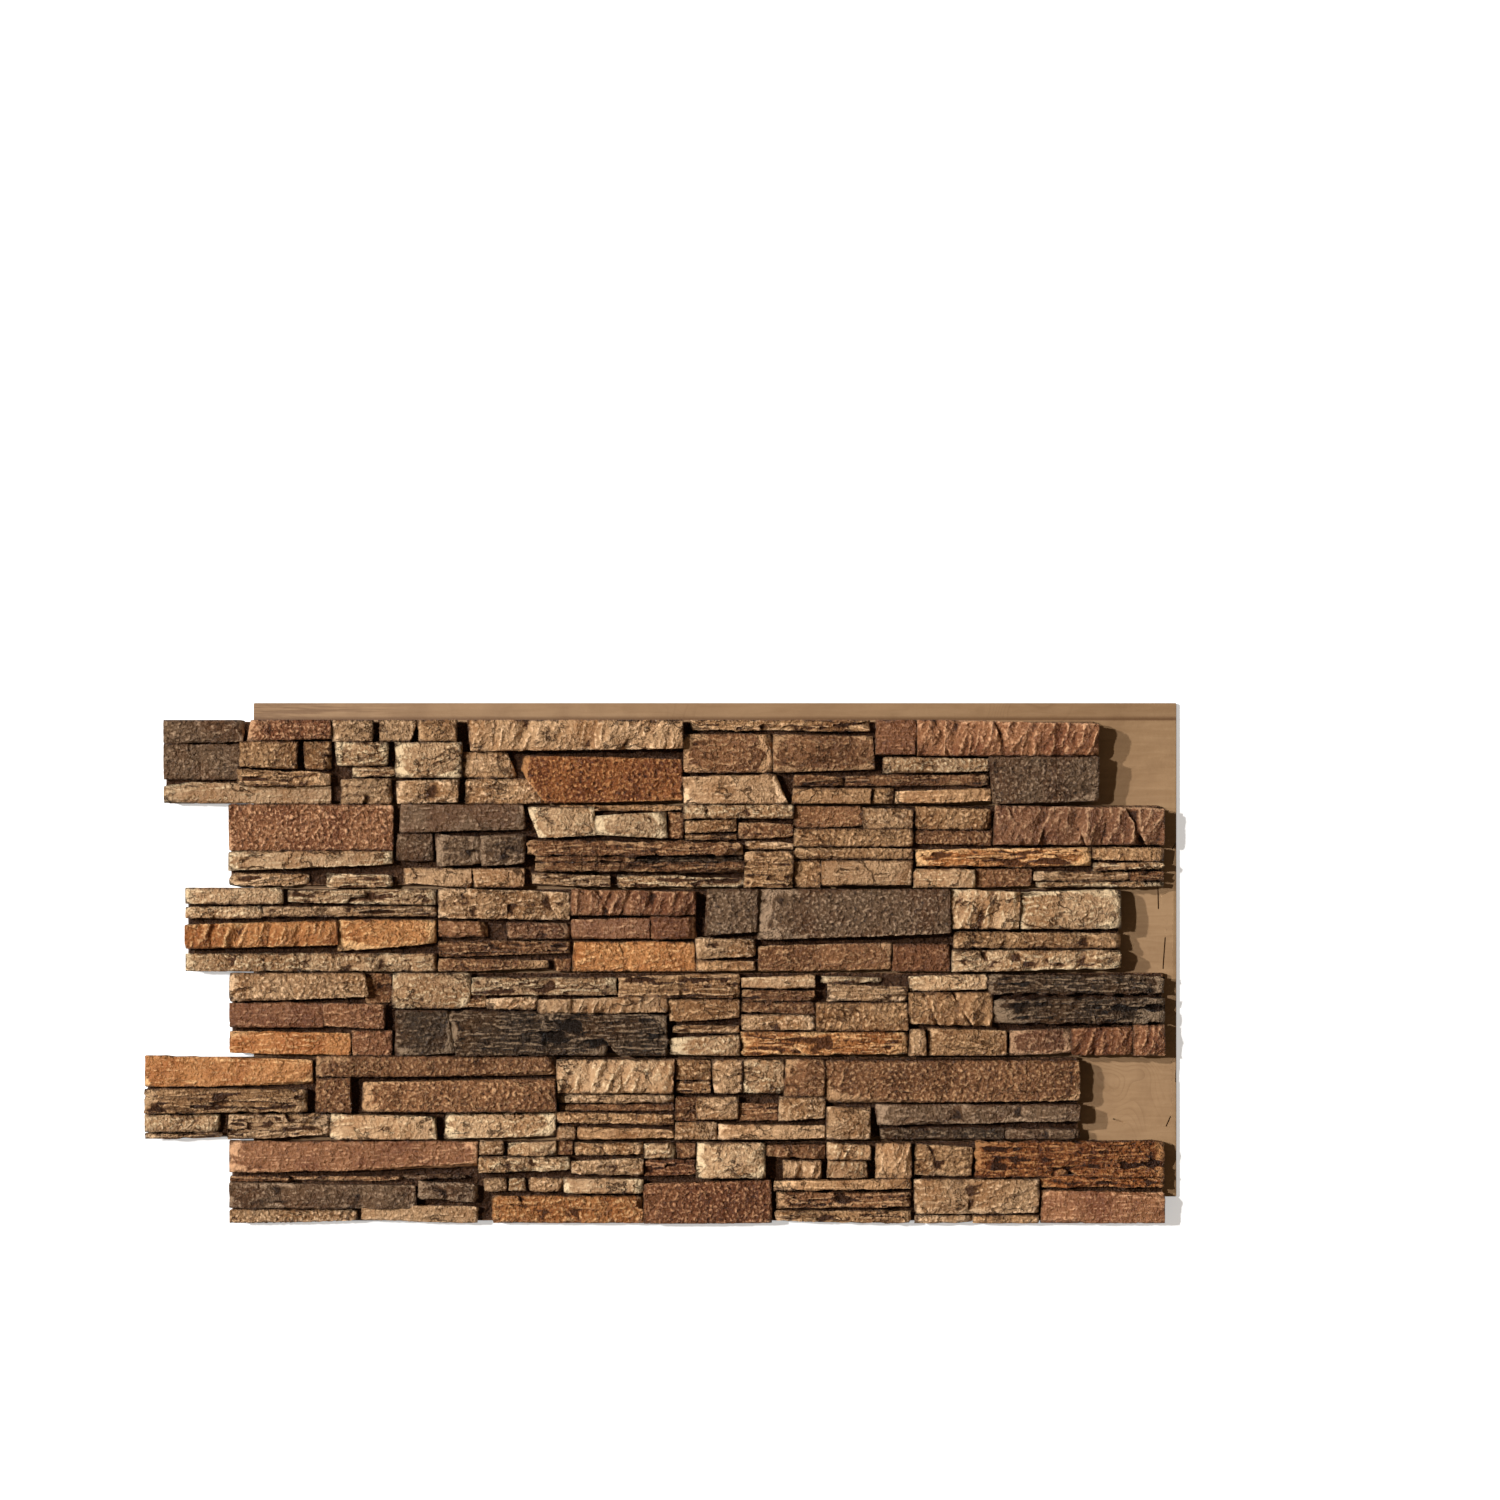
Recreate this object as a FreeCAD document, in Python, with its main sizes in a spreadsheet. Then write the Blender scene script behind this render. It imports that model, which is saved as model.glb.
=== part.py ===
import FreeCAD, Part
import os
import Sketcher

# Faux ledgestone wall panel, moulded in one piece from rigid foam.
# The panel lies on its back: X runs along the courses, Y points up the wall
# and Z out of the wall. The origin is under the middle of the panel's box.

DOCUMENT = FreeCAD.newDocument("stone_panel")

# Driving dimensions in millimetres, and the draft in degrees.
SHEET_ROWS = [
    ("sheet_length", 1092),
    ("sheet_height", 584),
    ("sheet_thickness", 8),
    ("sheet_corner_radius", 7),
    ("bottom_overhang", 30),
    ("course_length", 1104),
    ("course_height", 99),
    ("overhang_one", 105),
    ("overhang_two", 28),
    ("overhang_three", 79),
    ("overhang_four", 27),
    ("overhang_five", 127),
    ("overhang_six", 27),
    ("joint_floor", 12),
    ("joint_setback", 1.5),
    ("stone_root", 6),
    ("stone_draft", 4),
    ("stone_arris", 2.4),
]

dimensions = DOCUMENT.addObject("Spreadsheet::Sheet", "dimensions")
for row, (alias, value) in enumerate(SHEET_ROWS, start=1):
    dimensions.set(f"A{row}", alias)
    dimensions.set(f"B{row}", str(value))
    dimensions.setAlias(f"B{row}", alias)
DOCUMENT.recompute()

OVERHANGS = [
    "overhang_one", "overhang_two", "overhang_three",
    "overhang_four", "overhang_five", "overhang_six",
]

# The stones of each course, top course first. Each is moulded as one block:
# left edge and lower edge from the course's lower left corner, length, height,
# relief above the backing sheet, then how many degrees its face leans down
# the wall and turns to the right.
COURSE_STONES = [
    [
        (0, 71, 97, 28, 30, 1, -2), (99, 74, 99, 25, 33, 0, -1),
        (0, 29, 91, 41, 27, 1, 0), (91, 41, 67, 32, 34, 0, -2),
        (167, 41, 31, 32, 31, 0, -1), (88, 21, 110, 20, 35, -1, 0),
        (0, 0, 198, 26, 25, 2, 0), (200, 74, 47, 25, 33, 0, -2),
        (256, 74, 45, 25, 31, 0, 2), (302, 74, 44, 25, 36, 0, 4),
        (204, 45, 61, 27, 34, 0, -1), (275, 31, 77, 41, 37, 0, -2),
        (223, 31, 51, 12, 29, 0, 0), (210, 0, 59, 29, 28, 0, 2),
        (276, 0, 72, 29, 32, 0, -1), (357, 0, 58, 29, 24, 1, 0),
        (354, 31, 60, 30, 27, 1, -1), (362, 62, 251, 37, 38, 0, 0),
        (417, 0, 195, 57, 31, 1, 0), (622, 85, 212, 14, 31, 0, 0),
        (614, 37, 105, 45, 33, 1, -1), (720, 37, 118, 45, 34, 1, 1),
        (614, 0, 121, 35, 35, 0, 0), (744, 21, 59, 14, 29, 0, 0),
        (805, 21, 170, 14, 28, 0, 0), (743, 0, 92, 18, 33, 0, 0),
        (837, 0, 24, 18, 29, 0, 2), (864, 0, 112, 18, 34, 0, 0),
        (841, 58, 47, 41, 34, 0, -1), (890, 57, 214, 42, 35, 0, 0),
        (850, 36, 124, 19, 31, 0, 0), (977, 0, 127, 55, 37, 0, 0),
    ],
    [
        (0, 44, 194, 54, 30, 1, 0), (0, 20, 194, 23, 33, 0, 0),
        (0, 0, 95, 17, 26, 0, 1), (116, 0, 77, 17, 29, -2, 0),
        (203, 65, 146, 33, 31, 0, 0), (199, 32, 42, 31, 29, -3, 2),
        (246, 25, 51, 38, 38, 0, -3), (298, 25, 52, 38, 38, 0, 4),
        (207, 0, 80, 23, 27, 0, 0), (289, 0, 60, 23, 28, 0, 0),
        (358, 58, 74, 37, 33, 0, -1), (433, 58, 84, 31, 40, 0, 5),
        (392, 90, 143, 8, 28, 0, 0), (519, 58, 17, 31, 29, 0, 0),
        (352, 38, 255, 18, 36, 1, 0), (361, 18, 246, 18, 35, 0, 0),
        (358, 0, 92, 17, 28, 0, 0), (459, 0, 148, 15, 29, 0, 0),
        (538, 82, 128, 16, 34, 0, 0), (539, 64, 60, 17, 30, 1, 0),
        (602, 57, 64, 20, 30, 2, 0), (539, 56, 61, 7, 27, 0, 0),
        (609, 45, 57, 10, 30, 0, 0), (609, 0, 57, 43, 34, 0, -1),
        (668, 71, 79, 25, 27, 0, -1), (749, 70, 58, 24, 30, 0, 0),
        (668, 49, 139, 20, 32, 0, 0), (668, 34, 139, 14, 30, 0, 0),
        (668, 0, 31, 32, 27, 0, 0), (700, 3, 106, 29, 36, 0, 0),
        (811, 69, 88, 27, 28, 0, 0), (810, 50, 90, 17, 27, 0, 0),
        (904, 51, 200, 46, 35, 1, 0), (811, 25, 207, 23, 33, 0, 0),
        (1020, 31, 84, 17, 31, 0, 0), (1020, 20, 84, 10, 33, 0, 0),
        (808, 0, 73, 22, 34, 0, -1), (883, 0, 64, 22, 27, 0, 1),
        (950, 8, 112, 11, 28, 0, 0), (1064, 8, 40, 11, 28, 0, 0),
        (953, 0, 151, 7, 31, 0, 0),
    ],
    [
        (0, 80, 115, 19, 32, 0, 1), (122, 78, 174, 20, 33, 0, 0),
        (0, 63, 90, 14, 30, 0, 0), (91, 65, 205, 12, 32, 0, 0),
        (0, 27, 180, 33, 34, 0, 0), (181, 24, 115, 37, 34, 0, 0),
        (0, 0, 296, 21, 30, 1, 0), (299, 61, 155, 37, 33, 0, 0),
        (299, 41, 58, 19, 27, 0, 0), (380, 39, 74, 19, 31, 0, 0),
        (299, 17, 155, 19, 29, 0, 0), (299, 0, 129, 15, 32, 0, 0),
        (436, 0, 18, 15, 26, 0, 0), (456, 67, 146, 30, 36, 0, -1),
        (456, 39, 92, 25, 31, 0, 0), (550, 39, 52, 26, 33, 0, 0),
        (458, 0, 143, 35, 28, 0, 0), (615, 43, 60, 54, 38, 0, -1),
        (676, 38, 226, 59, 40, 0, 0), (603, 15, 69, 25, 32, 0, 0),
        (604, 0, 68, 13, 31, 0, 0), (677, 0, 156, 34, 29, 0, 0),
        (835, 0, 67, 32, 27, 0, 1), (904, 51, 80, 46, 40, 0, -1),
        (985, 51, 119, 46, 39, 0, 0), (907, 28, 197, 19, 34, 0, 0),
        (905, 0, 199, 25, 37, 0, 0),
    ],
    [
        (0, 64, 166, 33, 34, 0, 0), (160, 61, 31, 35, 25, 0, 2),
        (0, 33, 111, 29, 29, 0, 0), (112, 31, 71, 31, 31, 0, 0),
        (0, 0, 143, 29, 29, 0, 0), (145, 0, 46, 29, 28, 0, 0),
        (193, 56, 91, 41, 32, 0, 0), (250, 56, 53, 20, 29, 0, 0),
        (286, 71, 171, 21, 34, 0, 0), (459, 68, 143, 29, 32, 0, 0),
        (304, 55, 59, 15, 31, 0, 0), (365, 49, 152, 21, 32, 0, 0),
        (519, 40, 83, 26, 31, 0, 1), (197, 0, 320, 53, 40, 0, 0),
        (523, 26, 79, 10, 31, 0, 0), (520, 0, 82, 24, 35, 0, -1),
        (605, 80, 86, 15, 34, 0, 0), (605, 64, 86, 14, 32, 0, 0),
        (605, 49, 86, 14, 32, 0, 0), (605, 30, 86, 18, 34, 0, 0),
        (697, 85, 73, 9, 29, 0, 0), (706, 64, 94, 20, 34, 0, 0),
        (693, 30, 107, 32, 35, 0, 0), (604, 0, 196, 28, 34, 0, 0),
        (803, 76, 91, 20, 30, 0, 0), (802, 35, 98, 39, 33, 0, 0),
        (803, 0, 18, 31, 36, 0, -2), (825, 0, 92, 32, 32, 0, 0),
        (896, 73, 208, 23, 32, 0, 0), (902, 38, 202, 31, 36, 0, 0),
        (921, 0, 72, 32, 32, 0, -1), (994, 0, 71, 34, 30, 0, 0),
        (1067, 0, 37, 36, 33, 0, -1),
    ],
    [
        (0, 62, 198, 37, 28, 5, 0), (0, 31, 192, 29, 36, 0, 0),
        (0, 9, 88, 20, 31, 0, 0), (0, 0, 91, 7, 27, 0, 0),
        (99, 0, 120, 30, 31, 0, 0), (220, 0, 124, 30, 33, 0, 0),
        (203, 74, 282, 24, 34, 0, 0), (203, 32, 40, 40, 30, 0, 3),
        (258, 33, 227, 39, 36, 0, 0), (355, 0, 130, 30, 31, 0, 0),
        (487, 55, 137, 39, 34, 0, 0), (487, 43, 137, 10, 31, 0, 0),
        (490, 33, 134, 8, 25, 0, 0), (487, 17, 137, 15, 30, 0, 0),
        (487, 0, 21, 15, 31, 0, 1), (511, 0, 113, 15, 33, 0, 0),
        (627, 70, 41, 24, 31, 0, 0), (627, 55, 41, 14, 31, 0, 0),
        (671, 55, 34, 39, 35, 0, -2), (706, 55, 48, 39, 34, 0, 0),
        (756, 51, 46, 43, 36, 0, 5), (627, 22, 24, 28, 28, 0, 0),
        (652, 24, 48, 26, 34, 0, 0), (701, 22, 46, 21, 28, 0, 0),
        (749, 22, 54, 28, 34, 0, 0), (627, 0, 48, 20, 32, 0, 0),
        (677, 0, 126, 18, 35, 0, 0), (805, 0, 51, 38, 35, 0, 0),
        (804, 43, 300, 50, 33, 0, 0), (864, 17, 240, 24, 35, 0, 0),
        (868, 0, 146, 13, 29, 0, 0), (1016, 0, 88, 13, 30, 0, 0),
    ],
    [
        (0, 60, 293, 37, 32, 0, 0), (0, 49, 205, 7, 27, 0, 0),
        (206, 52, 73, 6, 30, 0, 0), (0, 18, 220, 30, 34, 0, 0),
        (223, 25, 70, 25, 34, 0, 0), (0, 0, 150, 16, 28, 0, 0),
        (156, 0, 137, 23, 30, 0, 0), (295, 81, 29, 16, 31, 0, 0),
        (330, 80, 55, 17, 33, 0, 0), (387, 81, 18, 16, 28, 0, 1),
        (295, 60, 107, 18, 33, 0, 0), (408, 80, 80, 15, 31, 0, 0),
        (404, 57, 84, 20, 33, 0, 0), (301, 38, 26, 15, 29, 0, 0),
        (330, 38, 19, 15, 28, 0, 0), (354, 38, 39, 15, 29, 0, 0),
        (395, 36, 93, 18, 36, 0, 0), (311, 0, 177, 32, 28, 1, 0),
        (490, 77, 37, 17, 31, 0, 0), (529, 77, 21, 17, 29, 0, 1),
        (490, 55, 60, 20, 28, 0, 0), (552, 54, 80, 41, 38, 0, -1),
        (634, 76, 68, 17, 32, 0, -2), (654, 54, 44, 20, 31, 0, 0),
        (706, 76, 50, 19, 33, 0, -2), (706, 54, 46, 20, 32, 0, 0),
        (763, 54, 41, 41, 32, 0, 0), (490, 0, 149, 51, 32, 0, 0),
        (643, 39, 161, 14, 36, 0, 0), (645, 17, 159, 20, 30, 0, 0),
        (644, 0, 160, 15, 33, 0, 0), (809, 55, 67, 39, 31, 0, 0),
        (880, 54, 224, 43, 33, 0, 0), (958, 42, 146, 16, 31, 0, 0),
        (809, 11, 146, 41, 34, 0, 0), (810, 0, 66, 9, 32, 0, 0),
        (878, 0, 77, 9, 30, 0, 0), (958, 0, 146, 39, 30, 0, 0),
    ],
]

# The size that the stone lists were laid out for. A course that is made longer
# or higher stretches its stones with it.
LAID_LENGTH = max(left + length for stones in COURSE_STONES for left, low, length, *rest in stones)
LAID_HEIGHT = max(low + height for stones in COURSE_STONES for left, low, length, height, *rest in stones)

# Places worked out from the driving dimensions, as expressions.
LONGEST_OVERHANG = "max(" + "; ".join(f"dimensions.{name}" for name in OVERHANGS) + ")"
SHEET_LEFT = f"({LONGEST_OVERHANG} - dimensions.sheet_length) / 2"
STONES_LOW = "-(dimensions.sheet_height + dimensions.bottom_overhang) / 2"
ALONG = f"(dimensions.course_length / {LAID_LENGTH})"
UP = f"(dimensions.course_height / {LAID_HEIGHT})"


def bind(thing, **expressions):
    for name, expression in expressions.items():
        thing.setExpression(name.replace("__", "."), expression)


# Backing sheet: the flat plate behind the stones, whose top and right edges
# stand out as the flange that the next panels lap over.
def make_backing_sheet():
    body = DOCUMENT.addObject("PartDesign::Body", "backing_sheet")
    plane = next(f for f in body.Origin.OriginFeatures if f.Role == "XY_Plane")
    outline = body.newObject("Sketcher::SketchObject", "sheet_outline")
    outline.AttachmentSupport = [(plane, "")]
    outline.MapMode = "FlatFace"
    corners = [(0, 0), (100, 0), (100, 50), (0, 50)]
    for start, end in zip(corners, corners[1:] + corners[:1]):
        line = Part.LineSegment(FreeCAD.Vector(*start, 0), FreeCAD.Vector(*end, 0))
        outline.addGeometry(line, False)
    for line in range(4):
        outline.addConstraint(Sketcher.Constraint("Coincident", line, 2, (line + 1) % 4, 1))
    for line in (0, 2):
        outline.addConstraint(Sketcher.Constraint("Horizontal", line))
    for line in (1, 3):
        outline.addConstraint(Sketcher.Constraint("Vertical", line))
    length = outline.addConstraint(Sketcher.Constraint("DistanceX", 0, 1, 0, 2, 100))
    height = outline.addConstraint(Sketcher.Constraint("DistanceY", 1, 1, 1, 2, 50))
    outline.addConstraint(Sketcher.Constraint("Coincident", 0, 1, -1, 1))
    outline.setExpression(f"Constraints[{length}]", "dimensions.sheet_length")
    outline.setExpression(f"Constraints[{height}]", "dimensions.sheet_height")

    plate = body.newObject("PartDesign::Pad", "sheet_plate")
    plate.Profile = outline
    bind(plate, Length="dimensions.sheet_thickness")
    DOCUMENT.recompute()

    upright = [
        f"Edge{number}"
        for number, edge in enumerate(plate.Shape.Edges, start=1)
        if abs(edge.tangentAt(edge.FirstParameter).z) > 0.99
    ]
    rounded = body.newObject("PartDesign::Fillet", "sheet_corners")
    rounded.Base = (plate, upright)
    bind(rounded, Radius="dimensions.sheet_corner_radius")
    bind(body, Placement__Base__x=SHEET_LEFT)
    bind(body, Placement__Base__y=f"{STONES_LOW} + dimensions.bottom_overhang")
    return body


# Course bed: the floor of the joints between the stones of one course. It
# starts at the sheet's front, so that the part past the sheet's edge clears
# the flange of the panel beside it.
def make_course_bed(number, overhang, courses):
    bed = DOCUMENT.addObject("Part::Box", f"course_bed_{number}")
    left = f"{SHEET_LEFT} - dimensions.{overhang}"
    low = f"{STONES_LOW} + {courses - number} * dimensions.course_height"
    below = "dimensions.joint_setback" if number == courses else "0"
    above = "dimensions.joint_setback" if number == 1 else "0"
    bind(
        bed,
        Length="dimensions.course_length - 2 * dimensions.joint_setback",
        Width=f"dimensions.course_height - {below} - {above}",
        Height="dimensions.joint_floor",
        Placement__Base__x=f"{left} + dimensions.joint_setback",
        Placement__Base__y=f"{low} + {below}",
        Placement__Base__z="dimensions.sheet_thickness",
    )
    return bed


# One stone: a block that narrows towards its face, set into the bed by its
# root and leaned or turned a little, with its face edges broken.
STAND_UP = FreeCAD.Rotation(FreeCAD.Vector(1, 0, 0), 90)
ARRIS_SHARES = [0.7, 1.5, 1.0, 1.9, 1.2]
FACE_LIMIT = 0.3


def make_stone(name, overhang, courses_below, stone):
    left, low, length, height, relief, lean, turn = stone
    block = DOCUMENT.addObject("Part::Wedge", name)
    rise = f"({relief} - dimensions.joint_floor + dimensions.stone_root)"
    half_length = f"({length / 2} * {ALONG})"
    half_height = f"({height / 2} * {UP})"
    thinner = min(length, height) * FACE_LIMIT
    inset = f"min(tan(dimensions.stone_draft) * {rise}; {thinner})"
    bind(
        block,
        Ymax=rise,
        Xmin=f"-{half_length}",
        Xmax=half_length,
        X2min=f"-{half_length} + {inset}",
        X2max=f"{half_length} - {inset}",
        Zmin=f"-{half_height}",
        Zmax=half_height,
        Z2min=f"-{half_height} + {inset}",
        Z2max=f"{half_height} - {inset}",
    )
    leaned = FreeCAD.Rotation(FreeCAD.Vector(1, 0, 0), lean)
    turned = FreeCAD.Rotation(FreeCAD.Vector(0, 1, 0), turn)
    block.Placement = FreeCAD.Placement(FreeCAD.Vector(), turned * leaned * STAND_UP)
    course_left = f"{SHEET_LEFT} - dimensions.{overhang}"
    course_low = f"{STONES_LOW} + {courses_below} * dimensions.course_height"
    bind(
        block,
        Placement__Base__x=f"{course_left} + {left + length / 2} * {ALONG}",
        Placement__Base__y=f"{course_low} + {low + height / 2} * {UP}",
        Placement__Base__z=(
            "dimensions.sheet_thickness + dimensions.joint_floor - dimensions.stone_root"
        ),
    )
    return block


def break_edges(block, number, stone):
    left, low, length, height, relief, lean, turn = stone
    widest = min(length, height) * (1 - 2 * FACE_LIMIT) * FACE_LIMIT
    broken = DOCUMENT.addObject("Part::Chamfer", f"{block.Name}_broken")
    broken.Base = block
    edges = []
    for count, edge in enumerate(FACE_EDGES):
        share = ARRIS_SHARES[(number + count) % len(ARRIS_SHARES)]
        width = min(dimensions.stone_arris * share, widest)
        edges.append((edge, width, width))
    broken.Edges = edges
    return broken


def face_edges(block):
    top = block.Ymax.Value
    placed = block.Placement.inverse()
    found = []
    for number, edge in enumerate(block.Shape.Edges, start=1):
        heights = [placed.multVec(vertex.Point).y for vertex in edge.Vertexes]
        if min(heights) > top - 0.01:
            found.append(number)
    return found


backing_sheet = make_backing_sheet()
beds = []
blocks = []
total = len(COURSE_STONES)
for number, (overhang, stones) in enumerate(zip(OVERHANGS, COURSE_STONES), start=1):
    beds.append(make_course_bed(number, overhang, total))
    for count, stone in enumerate(stones, start=1):
        name = f"stone_{number}_{count:02d}"
        blocks.append((make_stone(name, overhang, total - number, stone), number, count, stone))
DOCUMENT.recompute()

FACE_EDGES = face_edges(blocks[0][0])
courses = []
for number, bed in enumerate(beds, start=1):
    shapes = [bed]
    for block, course, count, stone in blocks:
        if course == number:
            shapes.append(break_edges(block, count, stone))
    course = DOCUMENT.addObject("Part::MultiFuse", f"course_{number}")
    course.Shapes = shapes
    course.Refine = True
    courses.append(course)
DOCUMENT.recompute()

panel = DOCUMENT.addObject("Part::MultiFuse", "panel")
panel.Label = "panel"
panel.Shapes = [backing_sheet] + courses
panel.Refine = True
DOCUMENT.recompute()

# Checks before anything is written.
failed = [
    thing.Name
    for thing in DOCUMENT.Objects
    if "Invalid" in thing.State or "Error" in thing.State
]
if failed:
    raise RuntimeError("objects failed: " + ", ".join(failed))
if panel.Shape.isNull() or not panel.Shape.isValid():
    raise RuntimeError("the panel's shape is not valid")
if len(panel.Shape.Solids) != 1:
    raise RuntimeError(f"the panel has {len(panel.Shape.Solids)} solids")

os.makedirs("parts", exist_ok=True)
panel.Shape.exportStep(f"parts/{panel.Label}.step")
box = panel.Shape.BoundBox
print(f"panel {box.XLength:.1f} x {box.YLength:.1f} x {box.ZLength:.1f} mm")
print(f"volume {panel.Shape.Volume / 1e6:.2f} litres, {len(panel.Shape.Faces)} faces")
print(f"x {box.XMin:.2f} {box.XMax:.2f} y {box.YMin:.2f} {box.YMax:.2f} z {box.ZMin:.2f} {box.ZMax:.2f}")
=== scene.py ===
import math
import random

import bmesh
import bpy
import numpy as np
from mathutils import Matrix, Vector


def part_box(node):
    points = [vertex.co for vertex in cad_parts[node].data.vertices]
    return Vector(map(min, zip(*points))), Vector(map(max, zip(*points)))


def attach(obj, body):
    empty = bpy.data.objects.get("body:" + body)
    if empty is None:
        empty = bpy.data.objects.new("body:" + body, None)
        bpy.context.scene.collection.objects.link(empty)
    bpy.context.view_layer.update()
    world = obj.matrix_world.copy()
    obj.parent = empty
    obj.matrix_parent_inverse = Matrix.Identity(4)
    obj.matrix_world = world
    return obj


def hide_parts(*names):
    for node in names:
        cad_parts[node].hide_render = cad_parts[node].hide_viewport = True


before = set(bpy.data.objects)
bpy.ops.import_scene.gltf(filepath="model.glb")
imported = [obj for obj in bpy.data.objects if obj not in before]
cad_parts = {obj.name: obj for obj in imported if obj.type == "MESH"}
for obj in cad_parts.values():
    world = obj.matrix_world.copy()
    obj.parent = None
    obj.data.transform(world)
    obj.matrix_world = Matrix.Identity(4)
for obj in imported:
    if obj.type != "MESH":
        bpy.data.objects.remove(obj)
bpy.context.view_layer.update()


# Backing sheet: the flat plate of rigid foam that all the stones are moulded
# on. Its top and right edges stay bare as flanges, brushed tan with a brown
# wash at the foot of the stones, and a few short slits are cut into the right.
MM = 0.001
low_corner, high_corner = (Vector(corner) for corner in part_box("panel"))
SHEET_LENGTH = 1092 * MM
SHEET_HEIGHT = 584 * MM
SHEET_THICKNESS = 8 * MM
SHEET_CORNER = 7 * MM
SHEET_ARRIS = 1.2 * MM
SMOOTH_ANGLE = math.radians(35)
FLANGE_TAN = (0.300, 0.178, 0.087)
FLANGE_WASH = (0.120, 0.055, 0.022)
FLANGE_LIGHT = (0.385, 0.240, 0.126)
FLANGE_RINGS = 60
STONES_TOP = 287 * MM
STREAKS_START = -390 * MM
STREAKS_END = -280 * MM
SLIT_WIDTH = 1.6 * MM
SLIT_DEPTH = 3 * MM
SLIT_BEVEL = 0.45 * SLIT_WIDTH
SLITS = [  # middle x and y, length in mm, and turn in degrees
    (588, 76, 26, 91),
    (595, 11, 38, 86),
    (541, -187, 14, -17),
    (600, -188, 14, 66),
    (607.5, 139, 12, 60),
    (609, -134, 15, 88),
    (583, 144, 7, 20),
    (575, -20, 9, 70),
]

bpy.ops.object.select_all(action="DESELECT")
sheet_middle = (
    high_corner.x - SHEET_LENGTH / 2,
    high_corner.y - SHEET_HEIGHT / 2,
    low_corner.z + SHEET_THICKNESS / 2,
)
bpy.ops.mesh.primitive_cube_add(
    size=1, location=sheet_middle, scale=(SHEET_LENGTH, SHEET_HEIGHT, SHEET_THICKNESS)
)
sheet = bpy.context.object
sheet.name = "backing_sheet"
bpy.ops.object.transform_apply(location=True, rotation=True, scale=True)
bpy.ops.object.mode_set(mode="EDIT")
bpy.ops.mesh.select_all(action="DESELECT")
edges = bmesh.from_edit_mesh(sheet.data).edges
for edge in edges:
    start, end = (vertex.co for vertex in edge.verts)
    edge.select_set(abs(start.z - end.z) > SHEET_THICKNESS / 2)
bpy.ops.mesh.bevel(offset=SHEET_CORNER, segments=6, affect="EDGES")
bpy.ops.object.mode_set(mode="OBJECT")


def apply_modifier(piece, kind, **settings):
    modifier = piece.modifiers.new(kind.title(), kind)
    for name, value in settings.items():
        setattr(modifier, name, value)
    bpy.ops.object.modifier_apply(modifier=modifier.name)


apply_modifier(sheet, "BEVEL", width=SHEET_ARRIS, segments=2, limit_method="ANGLE")

slits = []
for x, y, length, turn in SLITS:
    bpy.ops.object.select_all(action="DESELECT")
    bpy.ops.mesh.primitive_cube_add(
        size=1,
        location=(x * MM, y * MM, low_corner.z + SHEET_THICKNESS),
        rotation=(0, 0, math.radians(turn)),
        scale=(length * MM, SLIT_WIDTH, 2 * SLIT_DEPTH),
    )
    slit = bpy.context.object
    bpy.ops.object.transform_apply(location=True, rotation=True, scale=True)
    bpy.ops.object.mode_set(mode="EDIT")
    bpy.ops.mesh.bevel(offset=SLIT_BEVEL, segments=1, affect="EDGES")
    bpy.ops.object.mode_set(mode="OBJECT")
    slits.append(slit)
bpy.context.view_layer.objects.active = sheet
for slit in slits:
    apply_modifier(sheet, "BOOLEAN", operation="DIFFERENCE", object=slit)
    bpy.data.objects.remove(slit)
bpy.ops.object.select_all(action="DESELECT")
sheet.select_set(True)
bpy.ops.object.shade_smooth_by_angle(angle=SMOOTH_ANGLE)


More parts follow.
